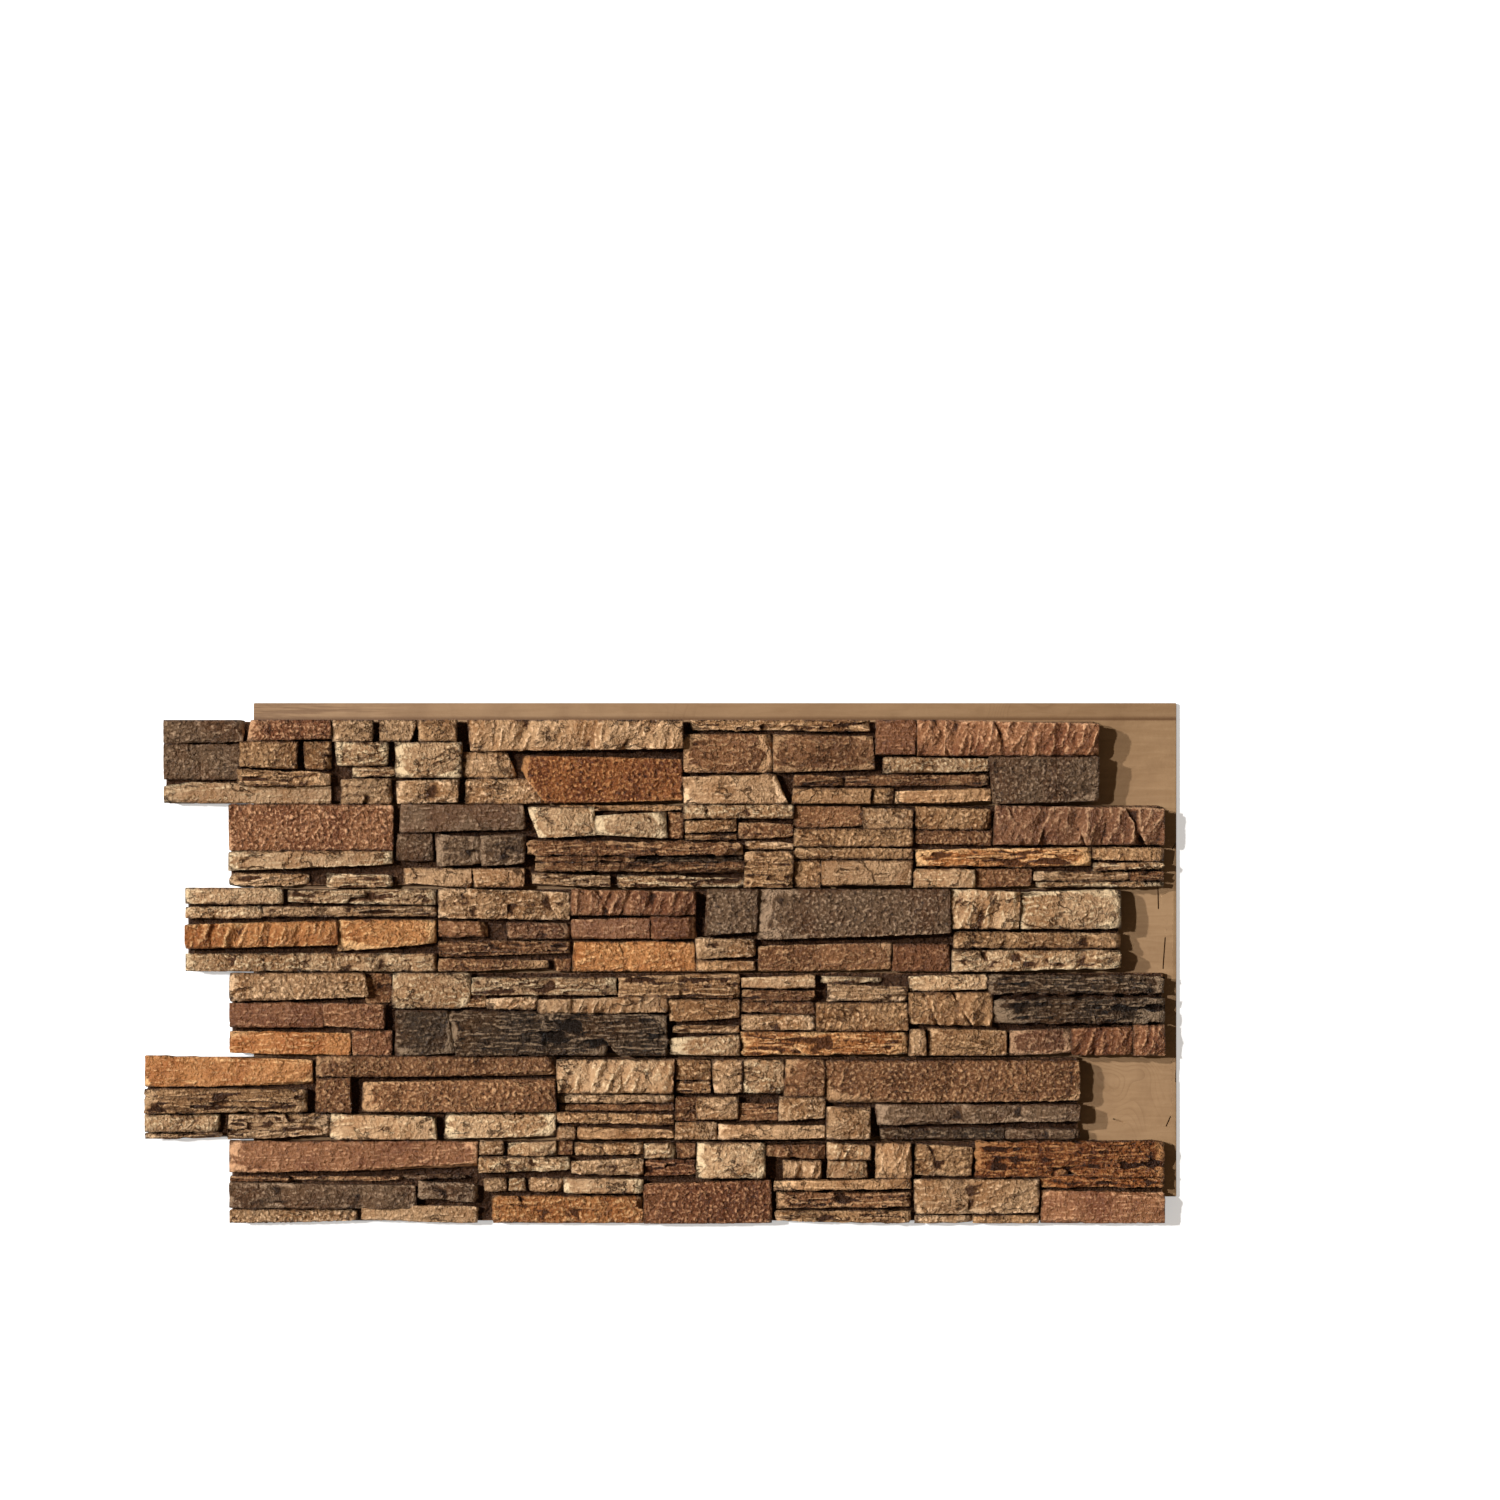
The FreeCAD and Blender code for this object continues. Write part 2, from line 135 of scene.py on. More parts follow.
class Paint:
    """One material's node tree, with short calls for its nodes and links."""

    def __init__(self, name, roughness, specular=0.25):
        self.material = bpy.data.materials.new(name)
        self.material.use_nodes = True
        self.nodes = self.material.node_tree.nodes
        self.links = self.material.node_tree.links
        self.shader = self.nodes["Principled BSDF"]
        self.shader.inputs["Roughness"].default_value = roughness
        self.shader.inputs["Specular IOR Level"].default_value = specular
        self.place = self.nodes.new("ShaderNodeTexCoord").outputs["Object"]

    def feed(self, socket, value):
        if isinstance(value, bpy.types.NodeSocket):
            self.links.new(value, socket)
        elif isinstance(value, tuple) and socket.type == "RGBA":
            socket.default_value = (*value, 1)
        else:
            socket.default_value = value

    def stretched(self, scale):
        mapping = self.nodes.new("ShaderNodeMapping")
        mapping.inputs["Scale"].default_value = scale
        self.links.new(self.place, mapping.inputs["Vector"])
        return mapping.outputs["Vector"]

    def noise(self, scale, detail=3.0, rough=0.55, place=None, warp=0.0):
        noise = self.nodes.new("ShaderNodeTexNoise")
        self.feed(noise.inputs["Vector"], place or self.place)
        noise.inputs["Scale"].default_value = scale
        noise.inputs["Detail"].default_value = detail
        noise.inputs["Roughness"].default_value = rough
        noise.inputs["Distortion"].default_value = warp
        return noise.outputs["Fac"]

    def attribute(self, name):
        read = self.nodes.new("ShaderNodeAttribute")
        read.attribute_name = name
        return read.outputs["Fac"]

    def spread(self, value, low, high, to_low=0.0, to_high=1.0):
        spread = self.nodes.new("ShaderNodeMapRange")
        self.feed(spread.inputs["Value"], value)
        ends = {"From Min": low, "From Max": high, "To Min": to_low, "To Max": to_high}
        for socket, number in ends.items():
            spread.inputs[socket].default_value = number
        return spread.outputs["Result"]

    def sums(self, operation, first, second=0.0):
        sums = self.nodes.new("ShaderNodeMath")
        sums.operation = operation
        self.feed(sums.inputs[0], first)
        self.feed(sums.inputs[1], second)
        return sums.outputs["Value"]

    def mix(self, share, first, second):
        mix = self.nodes.new("ShaderNodeMix")
        mix.data_type = "RGBA"
        self.feed(mix.inputs["Factor"], share)
        self.feed(mix.inputs[6], first)
        self.feed(mix.inputs[7], second)
        return mix.outputs[2]

    def axis(self, name):
        split = self.nodes.new("ShaderNodeSeparateXYZ")
        self.links.new(self.place, split.inputs["Vector"])
        return split.outputs[name]

    def bump(self, value, distance, strength=1.0):
        bump = self.nodes.new("ShaderNodeBump")
        bump.inputs["Distance"].default_value = distance
        bump.inputs["Strength"].default_value = strength
        self.feed(bump.inputs["Height"], value)
        self.links.new(bump.outputs["Normal"], self.shader.inputs["Normal"])

    def colour(self, value):
        self.links.new(value, self.shader.inputs["Base Color"])


def flange_paint():
    """Tan brushed along the sheet, with smears, rings and drags of the brown wash."""
    paint = Paint("flange_paint", roughness=0.62)
    across, up = paint.axis("X"), paint.axis("Y")
    streaks = paint.noise(16, 5, place=paint.stretched((1, 9, 9)), warp=0.6)
    toned = paint.mix(paint.spread(streaks, 0.35, 0.65, 0, 0.5), FLANGE_TAN, FLANGE_LIGHT)
    smears = paint.spread(paint.noise(7, 4, warp=1.5), 0.45, 0.75, 0, 0.35)
    toned = paint.mix(smears, toned, FLANGE_WASH)

    swirl = paint.sums("SUBTRACT", paint.noise(4, 2, 0.4, warp=1.2), 0.5)
    rings = paint.sums("MULTIPLY", paint.sums("ABSOLUTE", swirl), FLANGE_RINGS)
    rings = paint.spread(paint.sums("FRACT", rings), 0.6, 0.95)
    brushed = paint.spread(paint.noise(5, 2, 0.4), 0.56, 0.66, 0, 0.22)
    toned = paint.mix(paint.sums("MULTIPLY", rings, brushed), toned, FLANGE_WASH)

    left = paint.spread(across, STREAKS_START, STREAKS_END, 0.6, 0)
    dragged = paint.noise(12, 4, place=paint.stretched((1, 22, 22)), warp=0.4)
    dragged = paint.spread(dragged, 0.46, 0.58)
    toned = paint.mix(paint.sums("MULTIPLY", dragged, left), toned, FLANGE_WASH)

    top = paint.spread(up, STONES_TOP - 1 * MM, STONES_TOP, 0, 0.16)
    toned = paint.mix(top, toned, FLANGE_WASH)
    above = paint.spread(up, STONES_TOP - 1 * MM, STONES_TOP)
    near = paint.spread(up, STONES_TOP + 1.5 * MM, STONES_TOP + 5 * MM, 0.8, 0)
    foot = paint.sums("MULTIPLY", above, near)
    paint.colour(paint.mix(foot, toned, FLANGE_WASH))

    furrows = paint.sums("MULTIPLY", streaks, 2)
    paint.bump(paint.sums("ADD", paint.noise(180, 4), furrows), 0.4 * MM, 0.8)
    return paint.material


sheet.data.materials.append(flange_paint())
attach(sheet, "root")
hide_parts("panel")


# First course of stones, at the top of the panel. The foam is cast in a mould
# taken from real split ledgestone, and each stone is then brushed with its own
# colour, a dark wash that also paints the shade in its hollows and a light coat
# dragged over the ridges that also paints their highlights.
SEED = 100
COURSES = 6
COURSE_LENGTH = 1104 * MM
COURSE_HEIGHT = 99 * MM
OVERHANGS = [105 * MM, 28 * MM, 79 * MM, 27 * MM, 127 * MM, 27 * MM]  # past the sheet's left edge
SHEET_LEFT = high_corner.x - SHEET_LENGTH
JOINT_FLOOR = SHEET_THICKNESS + 12 * MM
BED_SETBACK = 2 * MM
BED_RELIEF = 4 * MM
BED_VOXEL = 4 * MM
STONE_ROOT = 2 * MM  # how deep a stone's foot lies in the joint floor
STONE_SPREAD = (0.9 * MM, 0.5 * MM)  # how far its sides reach into the joints
STONE_VOXEL = 1.4 * MM
GAPE = 5.5 * MM  # the widest that a joint opens along a stone
GAPE_CHANCE = 0.45
GAPE_LENGTH = 25 * MM

# How a stone breaks: the part of its height that a flake may take off, how far
# out the flake starts and how steeply it falls, the chances that a left or
# right end and a corner break away, how far in those breaks start, the chips
# along its edges, and the spare stock round each piece before it is cut.
FLAKE_SHARE = 0.34
FLAKE_REACH = (0.1, 0.75)
FLAKE_STEEPNESS = (0.4, 1)
END_BREAKS = {-1: 0.05, 1: 0.22}
END_INSET = (4, 11)
END_LENGTH = 12 * MM
CORNER_BREAKS = 0.6
CORNER_INSET = (1, 6.5)
RIM_CHIP = 2.4 * MM
INNER_CHIP = 2.0 * MM
SPARE = 12 * MM

# Faces are few on flat ground, and fewest below this depth, where the
# neighbouring stones hide them.
HIDDEN_DEPTH = 7 * MM
PLAIN_SHARE = 0.72
HIDDEN_SHARE = 0.03


def guide(name, size, turn=0.0):
    bpy.ops.object.select_all(action="DESELECT")
    bpy.ops.object.empty_add(location=(0, 0, 0), rotation=(0, 0, turn))
    bpy.context.object.name = name
    bpy.context.object.scale = size
    return bpy.context.object


def texture(name, kind, **settings):
    made = bpy.data.textures.new(name, kind)
    for setting, value in settings.items():
        setattr(made, setting, value)
    return made


ROUND_GUIDE = guide("round_guide", (1 * MM,) * 3)
BED_GUIDE = guide("bed_guide", (2.6 * MM, 1 * MM, 1.5 * MM), math.radians(4))
LAYER_GUIDE = guide("layer_guide", (9 * MM, 1 * MM, 3 * MM), math.radians(1.5))
SLANT_GUIDE = guide("slant_guide", (1 * MM, 3 * MM, 2 * MM), math.radians(-18))

LUMPS = texture("lumps", "CLOUDS", noise_scale=18, noise_depth=2)
CHUNKS = texture("chunks", "CLOUDS", noise_scale=8, noise_depth=3, noise_type="HARD_NOISE")
SCOOPS = texture("scoops", "CLOUDS", noise_scale=17, noise_depth=1, noise_type="HARD_NOISE")
GRIT = texture("grit", "CLOUDS", noise_scale=3.6, noise_depth=2)
LAYERS = texture("layers", "CLOUDS", noise_scale=3.6, noise_depth=3, noise_type="HARD_NOISE")
PLATES = texture(
    "plates", "DISTORTED_NOISE", noise_scale=6, distortion=0.8,
    noise_basis="CELL_NOISE", noise_distortion="BLENDER_ORIGINAL",
)

# Each face shape gives the length and height in millimetres of the pieces that
# a stone of it is split into, how far they stand out of line, how much their
# side edges lean, how many flakes come off each and how steeply, how far they
# tip out of line in degrees, how coarse the painted grain is, and the
# displacements that follow: texture, guide, direction and depth in millimetres.
SHAPES = {
    "pitted": (330, 60, 0.6, 0.1, 4, 12, 1, 0.6, [
        (LUMPS, ROUND_GUIDE, "Z", 4.0),
        (CHUNKS, ROUND_GUIDE, "Z", 3.2),
        (GRIT, ROUND_GUIDE, "NORMAL", 3.4),
    ]),
    "smooth": (500, 70, 0.5, 0.3, 7, 14, 1, 0.35, [
        (LUMPS, ROUND_GUIDE, "NORMAL", 3.0),
        (CHUNKS, BED_GUIDE, "Z", 1.8),
        (LAYERS, LAYER_GUIDE, "NORMAL", 1.8),
        (GRIT, ROUND_GUIDE, "NORMAL", 1.4),
    ]),
    "split": (42, 18, 4.5, 0.6, 7, 34, 8, 0.7, [
        (LUMPS, ROUND_GUIDE, "NORMAL", 3.2),
        (CHUNKS, BED_GUIDE, "Z", 5.0),
        (GRIT, ROUND_GUIDE, "NORMAL", 2.4),
    ]),
    "cleft": (80, 70, 2.5, 0.5, 9, 30, 4, 0.55, [
        (LUMPS, ROUND_GUIDE, "NORMAL", 2.6),
        (CHUNKS, BED_GUIDE, "Z", 3.8),
        (GRIT, ROUND_GUIDE, "NORMAL", 2.0),
    ]),
    "scarred": (36, 70, 3.0, 0.7, 6, 28, 7, 0.45, [
        (LUMPS, ROUND_GUIDE, "NORMAL", 2.6),
        (SCOOPS, SLANT_GUIDE, "Z", -9.0),
        (GRIT, ROUND_GUIDE, "NORMAL", 2.0),
    ]),
    "ledge": (90, 9, 4.4, 0.8, 4, 24, 6, 0.7, [
        (LUMPS, ROUND_GUIDE, "NORMAL", 2.8),
        (PLATES, LAYER_GUIDE, "Z", 2.6),
        (LAYERS, LAYER_GUIDE, "NORMAL", 3.4),
        (GRIT, ROUND_GUIDE, "NORMAL", 1.4),
    ]),
    "grained": (140, 13, 3.0, 1.0, 4, 18, 5, 0.8, [
        (LUMPS, ROUND_GUIDE, "NORMAL", 7.0),
        (LAYERS, LAYER_GUIDE, "NORMAL", 5.4),
        (GRIT, BED_GUIDE, "NORMAL", 2.4),
    ]),
}


def cut(point, normal):
    bpy.ops.mesh.select_all(action="SELECT")
    bpy.ops.mesh.bisect(plane_co=point, plane_no=normal, use_fill=True, clear_outer=True)


def lines_across(start, end, step, slope, chance):
    """Places and slopes of the lines that break a run into uneven pieces."""
    count = max(1, round((end - start) / step + chance.uniform(-0.35, 0.35)))
    spans = [chance.uniform(0.6, 1.4) for piece in range(count)]
    lines = [start]
    for span in spans:
        lines.append(lines[-1] + span * (end - start) / sum(spans))
    return [(place, chance.uniform(-slope, slope)) for place in lines]


def chip(place, outward, deepest, chance):
    """Breaks one edge of the block, a little unevenly along its length."""
    skew = chance.uniform(-0.12, 0.12)
    steep = chance.uniform(0.5, 1.6)
    normal = (outward[0] + skew * outward[1], outward[1] + skew * outward[0], steep)
    inset = chance.uniform(0.1, 1) * deepest
    cut((place[0] - outward[0] * inset, place[1] - outward[1] * inset, place[2]), normal)


def build_piece(sides, rows, rims, middle, foot, plane, normal, flakes, steepness, chance):
    """One piece of a stone: slanting sides, a tilted face, flakes and broken edges."""
    (west, west_slope), (east, east_slope) = sides
    (south, south_slope), (north, north_slope) = rows
    centre = ((west + east) / 2, (south + north) / 2)
    half = ((east - west) / 2, (north - south) / 2)
    bpy.ops.mesh.select_all(action="SELECT")
    bpy.ops.mesh.hide()
    bpy.ops.mesh.primitive_cube_add(
        size=1,
        location=(*centre, (foot + plane + SPARE) / 2),
        scale=(2 * half[0] + 2 * SPARE, 2 * half[1] + 2 * SPARE, plane + SPARE - foot),
    )
    cut((west, middle[1], 0), (-1, west_slope, 0))
    cut((east, middle[1], 0), (1, -east_slope, 0))
    cut((middle[0], south, 0), (south_slope, -1, 0))
    cut((middle[0], north, 0), (-north_slope, 1, 0))
    cut((*centre, plane), normal)
    for flake in range(flakes):
        turn = chance.uniform(0, 2 * math.pi)
        way = (math.cos(turn), math.sin(turn))
        reach = chance.uniform(*FLAKE_REACH)
        beyond = (1 - reach) * (half[0] * abs(way[0]) + half[1] * abs(way[1]))
        drop = math.tan(math.radians(chance.uniform(*FLAKE_STEEPNESS) * steepness))
        drop = min(drop, FLAKE_SHARE * (plane - JOINT_FLOOR) / beyond)
        place = (centre[0] + reach * half[0] * way[0], centre[1] + reach * half[1] * way[1], plane)
        cut(place, (drop * way[0], drop * way[1], 1))
    for side, share in END_BREAKS.items():
        if rims[(side + 1) // 2] and chance.random() < share and half[0] > END_LENGTH:
            inset = chance.uniform(*END_INSET) * MM
            cut(
                (centre[0] + side * (half[0] - inset), centre[1], plane),
                (side, chance.uniform(-0.5, 0.5), chance.uniform(0.7, 2.2)),
            )
    for side, end in ((-1, -1), (-1, 1), (1, -1), (1, 1)):
        outer = rims[(side + 1) // 2] and rims[2 + (end + 1) // 2]
        if outer and chance.random() < CORNER_BREAKS:
            inset = chance.uniform(*CORNER_INSET) * MM
            cut(
                (centre[0] + side * (half[0] - inset), centre[1] + end * half[1], plane),
                (
                    side * chance.uniform(0.4, 1),
                    end * chance.uniform(0.4, 1),
                    chance.uniform(0.2, 0.9),
                ),
            )
    for outward, rim in zip(((-1, 0), (1, 0), (0, -1), (0, 1)), rims):
        place = (centre[0] + outward[0] * half[0], centre[1] + outward[1] * half[1], plane)
        chip(place, outward, RIM_CHIP if rim else INNER_CHIP, chance)


def opening(half, chance):
    """How far a joint gapes at its right end, or at its left end if below zero."""
    gapes = half[0] > GAPE_LENGTH and chance.random() < GAPE_CHANCE
    widest = min(GAPE, 0.5 * half[1]) if gapes else 0
    return chance.uniform(0.3, 1) * widest * chance.choice((1, 1, -1))


def build_block(middle, half, foot, top, tilt, lean, ends, facets, chance):
    """A stone as strata, each broken along its length into pieces of its own height."""
    length, height, unevenness, slope, flakes, steepness, sway = facets
    left_slant, right_slant, below, above = (slant * MM for slant in (*ends, 0, 0, 0, 0)[:4])
    start, end = middle[0] - half[0], middle[0] + half[0]
    tall, wide = 2 * half[1], 2 * half[0]
    west = (start + abs(left_slant) / 2, left_slant / tall + chance.uniform(-0.08, 0.08))
    east = (end - abs(right_slant) / 2, right_slant / tall + chance.uniform(-0.08, 0.08))
    waver = min(0.04, 0.2 * height * MM / half[0])
    rows = lines_across(middle[1] - half[1], middle[1] + half[1], height * MM, waver, chance)
    below = below or opening(half, chance)
    above = above or opening(half, chance)
    rows[0] = (rows[0][0] + abs(below) / 2, below / wide)
    rows[-1] = (rows[-1][0] - abs(above) / 2, -above / wide)
    for pair in zip(rows, rows[1:]):
        sides = lines_across(start, end, length * MM, slope, chance)
        sides[0], sides[-1] = west, east
        for columns in zip(sides, sides[1:]):
            rims = (columns[0] is west, columns[1] is east, pair[0] is rows[0], pair[1] is rows[-1])
            across = (columns[0][0] + columns[1][0]) / 2 - middle[0]
            up = (pair[0][0] + pair[1][0]) / 2 - middle[1]
            plane = top - across * math.tan(tilt) - up * math.tan(lean)
            plane -= chance.uniform(0, unevenness) * MM
            sways = [math.radians(chance.uniform(-sway, sway)) for axis in range(2)]
            normal = (math.tan(tilt + sways[0]), math.tan(lean + sways[1]), 1)
            build_piece(columns, pair, rims, middle, foot, plane, normal, flakes, steepness, chance)


def thin_out(block, level):
    """Leaves fewer faces on flat ground, and few below a level, where neighbours hide them."""
    apply_modifier(block, "DECIMATE", ratio=PLAIN_SHARE)
    heights = vertex_array(block)[:, 2]
    hidden = block.vertex_groups.new(name="hidden")
    hidden.add([int(index) for index in np.flatnonzero(heights < level)], 1.0, "REPLACE")
    kept = np.count_nonzero(heights >= level) / len(heights)
    apply_modifier(
        block, "DECIMATE", ratio=min(1.0, kept + HIDDEN_SHARE),
        vertex_group="hidden", vertex_group_factor=1.0,
    )
    block.vertex_groups.clear()


def standing_out(piece, rounds):
    """How far each point stands above its smoothed surroundings, in millimetres."""
    places = vertex_array(piece).astype(float)
    pairs = np.empty(len(piece.data.edges) * 2, dtype=np.int32)
    piece.data.edges.foreach_get("vertices", pairs)
    first, second = pairs.reshape(-1, 2).T
    count = np.bincount(first, minlength=len(places)) + np.bincount(second, minlength=len(places))
    level = places.copy()
    for step in range(rounds):
        for axis in range(3):
            total = np.bincount(first, level[second, axis], len(places))
            total += np.bincount(second, level[first, axis], len(places))
            level[:, axis] = (level[:, axis] + total / count) / 2
    normals = np.empty(len(places) * 3, dtype=np.float32)
    piece.data.vertices.foreach_get("normal", normals)
    return ((places - level) * normals.reshape(-1, 3)).sum(axis=1) / MM


def build_stone(name, course_left, course_low, stone, chance):
    left, low, length, height, relief, lean, turn, finish, shape, *ends = stone
    *facets, coarseness, surfaces = SHAPES[shape]
    foot = JOINT_FLOOR - STONE_ROOT
    top = SHEET_THICKNESS + relief * MM
    middle = (course_left + (left + length / 2) * MM, course_low + (low + height / 2) * MM)
    half = (length * MM / 2 + STONE_SPREAD[0], height * MM / 2 + STONE_SPREAD[1])

    bpy.ops.object.select_all(action="DESELECT")
    bpy.ops.mesh.primitive_cube_add(size=1 * MM, location=(*middle, foot + 1 * MM))
    block = bpy.context.object
    block.name = name
    bpy.ops.object.transform_apply(location=True, rotation=True, scale=True)
    bpy.ops.object.mode_set(mode="EDIT")
    tilt, lean = math.radians(turn), -math.radians(lean)
    build_block(middle, half, foot, top, tilt, lean, ends, facets, chance)
    bpy.ops.mesh.reveal()
    bpy.ops.object.mode_set(mode="OBJECT")

    apply_modifier(block, "REMESH", mode="VOXEL", voxel_size=STONE_VOXEL)
    for surface, guide, direction, depth in surfaces:
        apply_modifier(
            block, "DISPLACE", texture=surface, texture_coords="OBJECT",
            texture_coords_object=guide, direction=direction,
            strength=depth * MM, mid_level=0.5,
        )
    thin_out(block, top - HIDDEN_DEPTH)

    places = vertex_array(block)
    inside = (np.array(half) - np.abs(places[:, :2] - np.array(middle))).min(axis=1) / MM
    proud = standing_out(block, SMOOTHING_ROUNDS) * PROUD_GAIN
    proud[proud < 0] *= HOLLOW_SHARE
    proud[proud > 0] *= (inside[proud > 0] / RIM_FADE).clip(RIM_LEAST, 1)
    store(block, "inside", inside)
    store(block, "proud", proud)
    store(block, "sunk", (top - places[:, 2]) / MM)
    store(block, "tone", np.full(len(places), chance.random()))
    store(block, "coarse", np.full(len(places), coarseness))
    block.data.materials.append(FINISHES[finish])
    bpy.ops.object.shade_smooth()
    return block


def vertex_array(piece):
    flat = np.empty(len(piece.data.vertices) * 3, dtype=np.float32)
    piece.data.vertices.foreach_get("co", flat)
    return flat.reshape(-1, 3)


def store(piece, name, values):
    attribute = piece.data.attributes.new(name, "FLOAT", "POINT")
    attribute.data.foreach_set("value", values.astype(np.float32))


# How a stone is painted. Points that stand proud take the light coat, which
# also paints their highlights, and hollows take the dark wash, which also
# paints their shade. The rim wash, which also paints the shade in the joints,
# lies along a stone's edge and the deep wash, which paints shade on the side
# walls and in deep hollows, far below its top, both in millimetres.
SMOOTHING_ROUNDS = 5
PROUD_GAIN = 2.0
HOLLOW_SHARE = 0.6
RIM_FADE = 5
RIM_LEAST = 0.15
RIM_WASH_AND_SHADE = (0.070, 0.029, 0.012)
RIM_WIDTH = (-0.6, 2.4)
DEEP_WASH_AND_SHADE = (0.050, 0.021, 0.009)
DEEP_LEVELS = (14, 24)
TONE_RANGE = (0.84, 1.16)
SPECKLE_GAIN = 1.9
PIT_SHARE = 1.6
VEIN_WIDTH = 0.022
VEIN_DEPTH = 0.4
GRAIN_DEPTH = 11 * MM


def stone_paint(name, base, stain, light, dark, speckle=0.5, veins=0.0):
    """A finish: a base clouded by a stain, then a light coat with painted highlights on the ridges
    and a dark wash with painted shade in the hollows.
    """
    paint = Paint(name, roughness=0.42, specular=0.35)
    coarse = paint.attribute("coarse")
    grains = paint.noise(290, 3, 0.65)
    blotches = paint.spread(paint.noise(20, 5, 0.6), 0.44, 0.6)
    colour = paint.mix(blotches, base, stain)

    patches = paint.spread(paint.noise(56, 4, 0.6), 0.35, 0.65, -0.2, 0.2)
    speckle *= SPECKLE_GAIN
    specks = paint.sums("MULTIPLY", coarse, paint.spread(grains, 0.32, 0.68, -speckle, speckle))
    # The light coat goes on the proud points as painted highlights and the dark wash into the
    # hollows as painted shade, broken up by grain specks and patches.
    lit = paint.sums("ADD", paint.sums("ADD", paint.attribute("proud"), patches), specks)
    colour = paint.mix(paint.spread(lit, 0.18, 1.4, 0, 0.88), colour, light)
    colour = paint.mix(paint.spread(lit, -0.3, -1.3), colour, dark)
    toned = paint.nodes.new("ShaderNodeHueSaturation")
    paint.feed(toned.inputs["Color"], colour)
    paint.feed(toned.inputs["Value"], paint.spread(paint.attribute("tone"), 0, 1, *TONE_RANGE))
    colour = toned.outputs["Color"]

    pits = paint.sums("MULTIPLY", paint.noise(105, 3, 0.6), PIT_SHARE)
    height = paint.sums("MULTIPLY", paint.sums("ADD", grains, pits), coarse)
    if veins:
        path = paint.noise(19, 5, 0.62, place=paint.stretched((1, 1.6, 1)), warp=0.4)
        path = paint.sums("ABSOLUTE", paint.sums("SUBTRACT", path, 0.5))
        broken = paint.spread(paint.noise(31, 2), 0.46, 0.56)
        line = paint.sums("MULTIPLY", paint.spread(path, 0, VEIN_WIDTH, veins, 0), broken)
        colour = paint.mix(line, colour, dark)
        height = paint.sums("SUBTRACT", height, paint.sums("MULTIPLY", line, VEIN_DEPTH))

    # A brown wash along each stone's edge paints the shade in its joints, and a darker wash far
    # below its top paints the shade on its side walls and in deep hollows.
    wander = paint.spread(paint.noise(110, 3), 0.3, 0.7, -3, 3)
    rim = paint.sums("SUBTRACT", paint.attribute("inside"), paint.sums("MULTIPLY", wander, 0.8))
    colour = paint.mix(paint.spread(rim, *RIM_WIDTH, 0.88, 0), colour, RIM_WASH_AND_SHADE)
    depth = paint.sums("ADD", paint.attribute("sunk"), wander)
    paint.colour(paint.mix(paint.spread(depth, *DEEP_LEVELS, 0, 0.92), colour, DEEP_WASH_AND_SHADE))
    paint.bump(height, GRAIN_DEPTH)
    return paint.material


# Each finish gives its base, the stain that clouds it, the light coat that also
# paints highlights and the dark wash that also paints shade, then how speckled
# its grain is and how strong its dark veins are.
FINISHES = {
    "cream": stone_paint(
        "cream_paint", (0.536, 0.323, 0.167), (0.393, 0.205, 0.089),
        (0.970, 0.721, 0.430), (0.085, 0.033, 0.012), 0.3, 0.9,
    ),
    "sand": stone_paint(
        "sand_paint", (0.467, 0.270, 0.132), (0.339, 0.167, 0.067),
        (0.968, 0.633, 0.361), (0.080, 0.031, 0.011), 0.35, 0.8,
    ),
    "tan": stone_paint(
        "tan_paint", (0.402, 0.215, 0.094), (0.266, 0.120, 0.043),
        (0.886, 0.542, 0.281), (0.070, 0.026, 0.009), 0.35, 0.7,
    ),
    "ochre": stone_paint(
        "ochre_paint", (0.492, 0.207, 0.067), (0.351, 0.120, 0.031),
        (0.970, 0.562, 0.251), (0.095, 0.032, 0.009), 0.35, 0.3,
    ),
    "rust": stone_paint(
        "rust_paint", (0.301, 0.096, 0.024), (0.174, 0.046, 0.011),
        (0.702, 0.325, 0.121), (0.050, 0.016, 0.005), 0.65,
    ),
    "russet": stone_paint(
        "russet_paint", (0.252, 0.104, 0.042), (0.170, 0.058, 0.022),
        (0.702, 0.382, 0.199), (0.060, 0.021, 0.008), 0.6,
    ),
    "mahogany": stone_paint(
        "mahogany_paint", (0.187, 0.069, 0.025), (0.129, 0.041, 0.014),
        (0.562, 0.284, 0.139), (0.042, 0.014, 0.006), 0.6,
    ),
    "plum": stone_paint(
        "plum_paint", (0.221, 0.094, 0.041), (0.151, 0.056, 0.024),
        (0.622, 0.357, 0.194), (0.052, 0.019, 0.008), 0.6,
    ),
    "umber": stone_paint(
        "umber_paint", (0.252, 0.109, 0.043), (0.163, 0.064, 0.023),
        (0.652, 0.372, 0.182), (0.046, 0.017, 0.006), 0.5, 0.5,
    ),
    "slate": stone_paint(
        "slate_paint", (0.141, 0.080, 0.041), (0.111, 0.051, 0.022),
        (0.432, 0.283, 0.173), (0.032, 0.015, 0.007), 0.4, 0.4,
    ),
    "charcoal": stone_paint(
        "charcoal_paint", (0.055, 0.032, 0.017), (0.076, 0.035, 0.013),
        (0.369, 0.246, 0.148), (0.014, 0.007, 0.003), 0.4,
    ),
    "joint": stone_paint(
        "joint_wash", (0.062, 0.026, 0.011), (0.044, 0.017, 0.007),
        (0.300, 0.155, 0.075), (0.020, 0.008, 0.003),
    ),
}


